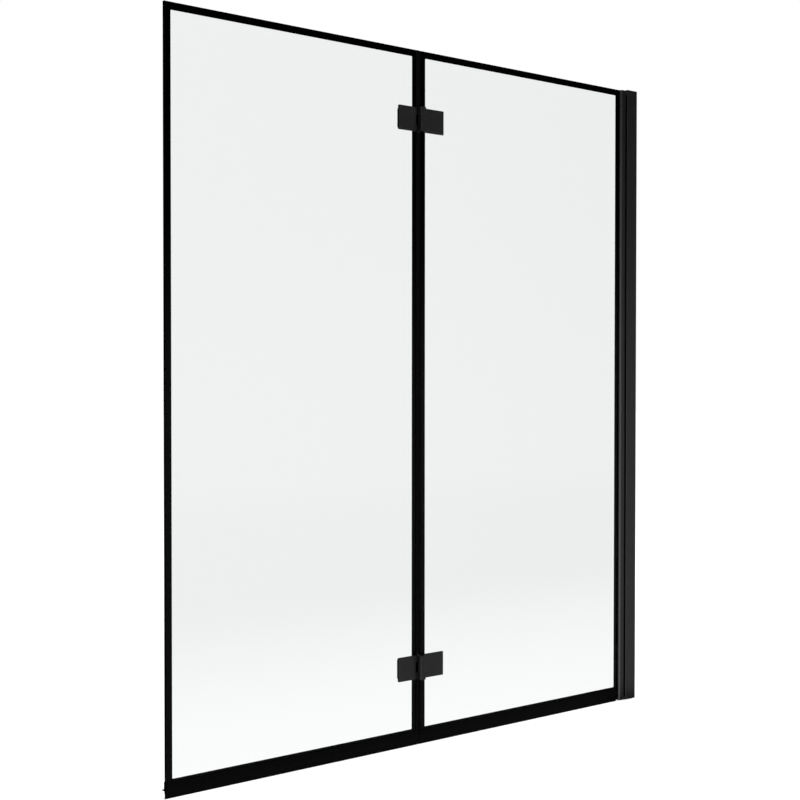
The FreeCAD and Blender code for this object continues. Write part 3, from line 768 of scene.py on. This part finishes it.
def make_meeting_seal():
    """The clip on the outer pane's edge, in three lengths between the hinges. Its soft hollow bulb fills the
    seam up to the inner pane's edge."""
    edge_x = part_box("outer_glass")[1].x
    reach = edge_x - meeting_leg_reach
    web_near = edge_x + seal_glass_gap
    web_far = web_near + meeting_web
    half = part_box("outer_border_print")[1].y + seal_glass_gap
    outer = half + meeting_leg_thickness
    bulb = meeting_bulb_radius
    hollow = bulb - meeting_bulb_wall
    bulb_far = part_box("inner_glass")[0].x - meeting_bulb_gap
    hollow_far = bulb_far - meeting_bulb_wall
    low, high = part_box("meeting_seal")
    bm = bmesh.new()
    for z0, z1 in meeting_seal_lengths(low.z, high.z):

        def at(x, y, radius=0.0):
            return Vector((x, y, z0)), radius

        outline = [
            at(reach, -outer, meeting_leg_round),
            at(web_far, -outer, meeting_web_round),
            at(web_far, -bulb, meeting_root_round),
            at(bulb_far, -bulb, bulb * meeting_bulb_roundness),
            at(bulb_far, bulb, bulb * meeting_bulb_roundness),
            at(web_far, bulb, meeting_root_round),
            at(web_far, outer, meeting_web_round),
            at(reach, outer, meeting_leg_round),
            at(reach, half, meeting_mouth_round),
            at(web_near, half, meeting_groove_round),
            at(web_near, -half, meeting_groove_round),
            at(reach, -half, meeting_mouth_round),
        ]
        chamber = [
            at(web_far, -hollow, meeting_root_round),
            at(hollow_far, -hollow, hollow * meeting_bulb_roundness),
            at(hollow_far, hollow, hollow * meeting_bulb_roundness),
            at(web_far, hollow, meeting_root_round),
        ]
        edges = add_outline(bm, outline) + add_outline(bm, chamber)
        extrude_section(bm, fill_flat(bm, edges), directions["z"], z1 - z0)
    finish_piece(bm, "seam_seal", [upright_rubber], "outer_panel", "black_rubber", "meeting_seal")


def meeting_seal_lengths(foot, head):
    """The stretches of the seam seal, which stops short of each hinge."""
    stops = [foot]
    for where in hinge_names:
        low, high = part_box(where + "_hinge_outer_leaf")
        stops += [low.z - meeting_hinge_gap, high.z + meeting_hinge_gap]
    stops.append(head)
    return list(zip(stops[::2], stops[1::2]))


def make_glazing_gasket(side_name, side):
    """The wedge strip between the pane and the pivot profile, with its soft lip outside the mouth."""
    node = side_name + "_glazing_gasket"
    low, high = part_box(node)
    face = high.y if side < 0 else low.y
    mouth = low.x + glazing_lip_height

    def at(x, y, radius=0.0):
        return Vector((x, y, low.z)), radius

    strip_wall = side * glazing_slot_half_width
    lip_far = face + side * glazing_lip_width
    outline = [
        at(low.x, face, glazing_lip_side_round),
        at(low.x, lip_far, glazing_lip_round),
        at(mouth, lip_far, glazing_lip_side_round),
        at(mouth, strip_wall),
        at(high.x, strip_wall, glazing_heel_round),
        at(high.x, face, glazing_tip_round),
    ]
    bm = bmesh.new()
    extrude_section(bm, fill_flat(bm, add_outline(bm, outline)), directions["z"], high.z - low.z)
    finish_piece(bm, side_name + "_glazing_strip", [upright_rubber], "inner_panel", "black_rubber", node)


def make_plate_pad(where, pane, side_name):
    """The rubber pad between a clamp plate and the glass. The room side one lines the holes with sleeves."""
    node = f"{where}_hinge_{pane}_{side_name}_gasket"
    low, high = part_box(node)
    glass_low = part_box(pane + "_glass")[0]
    far = glass_low.y if side_name == "front" else high.y
    bm = bmesh.new()
    edges = add_outline(bm, rectangle(low.x, high.x, low.z, high.z, low.y, pad_corner))
    screw_hole = hinge_screw_radius + screw_hole_gap
    for x, z in hinge_screw_places(where, pane):
        edges += add_circle(bm, Vector((x, low.y, z)), screw_hole, hole_steps, across["y"])
    extrude_section(bm, fill_flat(bm, edges), directions["y"], far - low.y)
    soften_edges(bm, pad_edge)
    if side_name == "front":
        sleeve = glass_hole_radius - screw_sleeve_gap
        for x, z in hinge_screw_places(where, pane):
            ring = add_circle(bm, Vector((x, far, z)), sleeve, hole_steps, across["y"])
            ring += add_circle(bm, Vector((x, far, z)), screw_hole, hole_steps, across["y"])
            extrude_section(bm, fill_flat(bm, ring), directions["y"], high.y - far)
    name = f"{where}_{pane}_{side_name}_pad"
    finish_piece(bm, name, [upright_rubber], pane + "_panel", "black_rubber", node)


# Screws, pins and covers
def make_hinge_screws(where, pane):
    """Two countersunk screws that clamp a pair of plates from the bath side."""
    node = f"{where}_hinge_{pane}_screws"
    low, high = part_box(node)
    bm = bmesh.new()
    for x, z in hinge_screw_places(where, pane):
        add_socket_screw(
            bm,
            Vector((x, high.y, z)),
            -directions["y"],
            high.y - low.y,
            hinge_screw_radius,
            (hinge_screw_head_radius, hinge_screw_head_radius - hinge_screw_radius),
            hinge_screw_socket,
        )
    finish_piece(bm, f"{where}_{pane}_clamp_screws", [turned_steel], pane + "_panel", "steel", node)


def make_bracket_screws():
    """The four screws that hold the pivot brackets to the adjusting profile."""
    low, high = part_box("bracket_screws")
    bm = bmesh.new()
    for end, inward in ((low.z, 1), (high.z, -1)):
        for x in (low.x + bracket_screw_head_radius, high.x - bracket_screw_head_radius):
            add_socket_screw(
                bm,
                Vector((x, 0, end)),
                directions["z"] * inward,
                bracket_screw_length,
                bracket_screw_radius,
                (bracket_screw_head_radius, bracket_screw_head_height),
                bracket_screw_socket,
            )
    finish_piece(bm, "bracket_fixings", [turned_steel], "wall_post", "steel", "bracket_screws")


def make_pin(node, name, body):
    """A plain pin with chamfered ends."""
    low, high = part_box(node)
    radius = (high.x - low.x) / 2
    length = high.z - low.z
    centre = Vector(((low.x + high.x) / 2, (low.y + high.y) / 2, low.z))
    outline = (
        (0, 0),
        (radius - pin_chamfer, 0),
        (radius, pin_chamfer),
        (radius, length - pin_chamfer),
        (radius - pin_chamfer, length),
        (0, length),
    )
    bm = bmesh.new()
    add_turned(bm, centre, directions["z"], outline)
    finish_piece(bm, name, [turned_steel], body, "steel", node)


def make_screw_covers():
    """The push-on covers of the adjusting screws: low domes with a round rim and a pocket for the head."""
    low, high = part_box("adjusting_screw_caps")
    screws_low, screws_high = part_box("adjusting_screws")
    radius = (high.x - low.x) / 2
    height = high.y - low.y
    pocket_radius = (screws_high.x - screws_low.x) / 2 + screw_hole_gap
    pocket_height = screws_high.y - low.y + screw_hole_gap
    middle_z = (low.z + high.z) / 2
    outline = [(0, height)]
    for turn in cover_rim_turns:
        inward = cover_rim_radius * (1 - math.sin(turn))
        down = cover_rim_radius * (1 - math.cos(turn))
        outline.append((radius - inward, height - down))
    outline += [(radius, 0), (pocket_radius, 0), (pocket_radius, pocket_height), (0, pocket_height)]
    bm = bmesh.new()
    for z in (low.z + radius, middle_z, high.z - radius):
        add_turned(bm, Vector(((low.x + high.x) / 2, low.y, z)), directions["y"], outline)
    finish_piece(
        bm, "screw_covers", [moulded_plastic], "wall_post", "black_plastic", "adjusting_screw_caps"
    )


# What a copied piece is made of: its material, its slot and how far its edges are softened
extrusion = (powder_coat, "black_extrusion", machined_edge)
moulding = (moulded_plastic, "black_plastic", moulded_edge)
hinge_metal = (hinge_paint_with_painted_light, "black_hinge_metal", machined_edge)

# Wall side
finished_copy("wall_profile", "wall_channel", *extrusion)
finished_copy("adjusting_profile", "sliding_channel", *extrusion)
finished_copy("wall_profile_top_cap", "channel_end_cap", *moulding)
for end_name in ("bottom", "top"):
    finished_copy(f"{end_name}_pivot_bracket", f"{end_name}_bracket", *extrusion)
    make_pin(f"{end_name}_pivot_pin", f"{end_name}_bracket_pin", "wall_post")
make_bracket_screws()
make_screw_covers()

# Panes with their profile, seals and hinges
finished_copy("pivot_profile", "pivot_bar", *extrusion)
make_glazing_gasket("front", -1)
make_glazing_gasket("back", 1)
for pane in pane_names:
    make_pane(pane)
    make_bottom_seal(pane)
make_meeting_seal()
for where in hinge_names:
    make_pin(where + "_hinge_pin", where + "_fold_pin", "outer_panel")
    for pane in pane_names:
        leaf = f"{where}_hinge_{pane}_leaf"
        plate = f"{where}_hinge_{pane}_back_plate"
        finished_copy(leaf, f"{where}_{pane}_room_leaf", *hinge_metal)
        finished_copy(plate, f"{where}_{pane}_bath_plate", *hinge_metal)
        make_plate_pad(where, pane, "front")
        make_plate_pad(where, pane, "back")
        make_hinge_screws(where, pane)

# CAD nodes that stay as they are
kept_nodes = {
    "adjusting_screws": turned_steel,
    "bottom_pivot_bush": moulded_plastic,
    "top_pivot_bush": moulded_plastic,
    "lower_hinge_bush": moulded_plastic,
    "upper_hinge_bush": moulded_plastic,
    "inner_border_print": border_enamel,
    "outer_border_print": border_enamel,
}
for name, material in kept_nodes.items():
    for material_slot in nodes[name].material_slots:
        material_slot.material = material


# Studio. A reach is where a soft change of light starts and ends, and levels are the light at each end.
floor_level = -2.6 * mm
floor_size = 40.0
floor_colour = (0.86, 0.86, 0.86, 1)
floor_lift_reach = (0.7, 2.2)
floor_lift_levels = (0.62, 1.0)
floor_glass_reach = (-0.1, 1.7)
floor_glass_levels = (1.055, 0.928)
horizon_reach = (3.0, 6.0)
backdrop_through_glass = 0.945
foot_shade_reach = (0.0, 0.18)
foot_shade_levels = (0.2, 1.0)
ambient = 0.12

# What gloss sees. The reaches of the room and of the side's height are how far a ray points up. The others
# are how nearly it points along their level direction.
room_reach = (-0.04, 0.17)
room_levels = (0.13, 0.01)
dark_wall_direction = (-0.62, 0.79)
dark_wall_reach = (0.5, 0.85)
dark_wall_levels = (1.0, 0.05)
side_direction = (-0.72, -0.69)
side_reach = (0.74, 0.97)
side_levels = (0.0, 0.55)
side_height_reach = (-0.10, 0.22)
side_height_levels = (1.0, 0.05)
backdrop_direction = (0.61, 0.79)
backdrop_reach = (0.84, 0.95)
backdrop_levels = (0.0, 0.25)

# Lamps: name, place, target, size and power
lamps = (
    ("key lamp", (1.0, -3.6, 1.2), (-0.5, 0, 0.6), 2.0, 210),
    ("top lamp", (-0.6, 0.2, 3.6), (-0.6, 0, 0), 2.6, 60),
)

# Camera, with its angles in degrees
camera_place = (-2.2333, -2.0444, 0.7410)
camera_turn = -37.237
camera_tilt = 90 - 0.945
camera_roll = 0.030
camera_lens = 57.694
camera_sensor = 36.0


def change(tree, value, reach, levels):
    """A soft change between two levels as a value goes through its reach."""
    values = {
        "Value": value,
        "From Min": reach[0],
        "From Max": reach[1],
        "To Min": levels[0],
        "To Max": levels[1],
    }
    return add_node(tree, "ShaderNodeMapRange", values, interpolation_type="SMOOTHSTEP").outputs[0]


def along_floor(tree, toward, direction):
    """How far a ray points along a level direction."""
    x_part = math_node(tree, "MULTIPLY", toward["X"], direction[0])
    y_part = math_node(tree, "MULTIPLY", toward["Y"], direction[1])
    return math_node(tree, "ADD", x_part, y_part)


def straight_through(tree, path):
    """Marks what the eye sees through the glass, and leaves out what gloss mirrors through it."""
    return math_node(tree, "SUBTRACT", path["Is Transmission Ray"], path["Glossy Depth"], clamp=True)


def make_surroundings():
    """White to the eye and through the glass. Gloss sees a white backdrop, a dim room and a lit left side."""
    world = bpy.data.worlds.new("studio")
    bpy.context.scene.world = world
    world.use_nodes = True
    tree = world.node_tree
    tree.nodes.clear()
    path = add_node(tree, "ShaderNodeLightPath").outputs
    place = add_node(tree, "ShaderNodeTexCoord").outputs["Generated"]
    toward = add_node(tree, "ShaderNodeSeparateXYZ", {"Vector": place}).outputs
    room = change(tree, toward["Z"], room_reach, room_levels)
    dark_wall = along_floor(tree, toward, dark_wall_direction)
    room = math_node(tree, "MULTIPLY", room, change(tree, dark_wall, dark_wall_reach, dark_wall_levels))
    side = change(tree, along_floor(tree, toward, side_direction), side_reach, side_levels)
    side_height = change(tree, toward["Z"], side_height_reach, side_height_levels)
    side = math_node(tree, "MULTIPLY", side, side_height)
    backdrop = along_floor(tree, toward, backdrop_direction)
    backdrop = change(tree, backdrop, backdrop_reach, backdrop_levels)
    gloss = math_node(tree, "ADD", math_node(tree, "ADD", room, side), backdrop)
    light = mix_values(tree, path["Is Glossy Ray"], ambient, gloss)
    light = mix_values(tree, straight_through(tree, path), light, backdrop_through_glass)
    light = mix_values(tree, path["Is Camera Ray"], light, 1.0)
    shade = add_node(tree, "ShaderNodeBackground", {"Color": (1, 1, 1, 1), "Strength": light})
    add_node(tree, "ShaderNodeOutputWorld", {"Surface": shade.outputs[0]})


def make_floor_finish():
    """A pale floor that keeps the soft shadow. Through the glass it falls off a little away from the screen.
    Gloss sees the surroundings past it, dimmed near the wall profile's foot."""
    material = bpy.data.materials.new("pale floor")
    material.use_nodes = True
    tree = material.node_tree
    tree.nodes.clear()
    path = add_node(tree, "ShaderNodeLightPath").outputs
    place = add_node(tree, "ShaderNodeTexCoord").outputs["Object"]
    from_screen = add_node(tree, "ShaderNodeSeparateXYZ", {"Vector": place}).outputs["Y"]
    from_screen = math_node(tree, "ABSOLUTE", from_screen)
    fade = change(tree, from_screen, floor_glass_reach, floor_glass_levels)
    horizon_rise = backdrop_through_glass - floor_glass_levels[1]
    horizon = change(tree, from_screen, horizon_reach, (0.0, horizon_rise))
    seen_through = math_node(tree, "ADD", fade, horizon)
    matt = add_node(tree, "ShaderNodeBsdfDiffuse", {"Color": floor_colour})
    distance = add_node(tree, "ShaderNodeVectorMath", {0: place}, operation="LENGTH").outputs["Value"]
    whiter = change(tree, distance, floor_lift_reach, floor_lift_levels)
    whiter = math_node(tree, "MULTIPLY", path["Is Camera Ray"], whiter)
    lift = add_node(tree, "ShaderNodeEmission", {"Strength": whiter})
    lit = add_node(tree, "ShaderNodeAddShader", {0: matt.outputs[0], 1: lift.outputs[0]}).outputs[0]
    plain = add_node(tree, "ShaderNodeEmission", {"Strength": seen_through}).outputs[0]
    mixed = add_node(tree, "ShaderNodeMixShader", {0: path["Is Transmission Ray"], 1: lit, 2: plain})
    mirrored = math_node(
        tree, "SUBTRACT", path["Is Glossy Ray"], straight_through(tree, path), clamp=True
    )
    foot_shade = change(tree, distance, foot_shade_reach, foot_shade_levels)
    passing = add_node(tree, "ShaderNodeBsdfTransparent", {"Color": foot_shade}).outputs[0]
    surface = add_node(tree, "ShaderNodeMixShader", {0: mirrored, 1: mixed.outputs[0], 2: passing})
    add_node(tree, "ShaderNodeOutputMaterial", {"Surface": surface.outputs[0]})
    return material


def make_floor():
    """A wide level floor, just below the lips of the bottom seals."""
    bm = bmesh.new()
    bmesh.ops.create_grid(bm, x_segments=1, y_segments=1, size=floor_size / 2)
    bmesh.ops.translate(bm, verts=bm.verts[:], vec=(cad_box[0].x / 2, 0, floor_level))
    floor = place_mesh(bm, "studio_floor", [make_floor_finish()])


def make_soft_lamp(name, place, target, size, power):
    """A large soft lamp aimed at a point."""
    light = bpy.data.lights.new(name, "AREA")
    light.shape = "SQUARE"
    light.size = size
    light.energy = power
    lamp = bpy.data.objects.new(name, light)
    lamp.location = place
    lamp.rotation_euler = (Vector(target) - Vector(place)).to_track_quat("-Z", "Y").to_euler()
    lamp.visible_camera = False
    lamp.visible_glossy = False
    lamp.visible_transmission = False
    bpy.context.scene.collection.objects.link(lamp)


def make_camera():
    """The photograph's viewpoint: room side, left of the screen, at half its height."""
    lens = bpy.data.cameras.new("camera")
    lens.sensor_width = camera_sensor
    lens.lens = camera_lens
    camera = bpy.data.objects.new("camera", lens)
    turn = Matrix.Rotation(math.radians(camera_turn), 4, "Z")
    tilt = Matrix.Rotation(math.radians(camera_tilt), 4, "X")
    roll = Matrix.Rotation(math.radians(camera_roll), 4, "Z")
    camera.matrix_world = Matrix.Translation(camera_place) @ turn @ tilt @ roll
    bpy.context.scene.collection.objects.link(camera)
    bpy.context.scene.camera = camera


make_surroundings()
make_floor()
for lamp in lamps:
    make_soft_lamp(*lamp)
make_camera()
bpy.context.scene.view_settings.view_transform = "Standard"
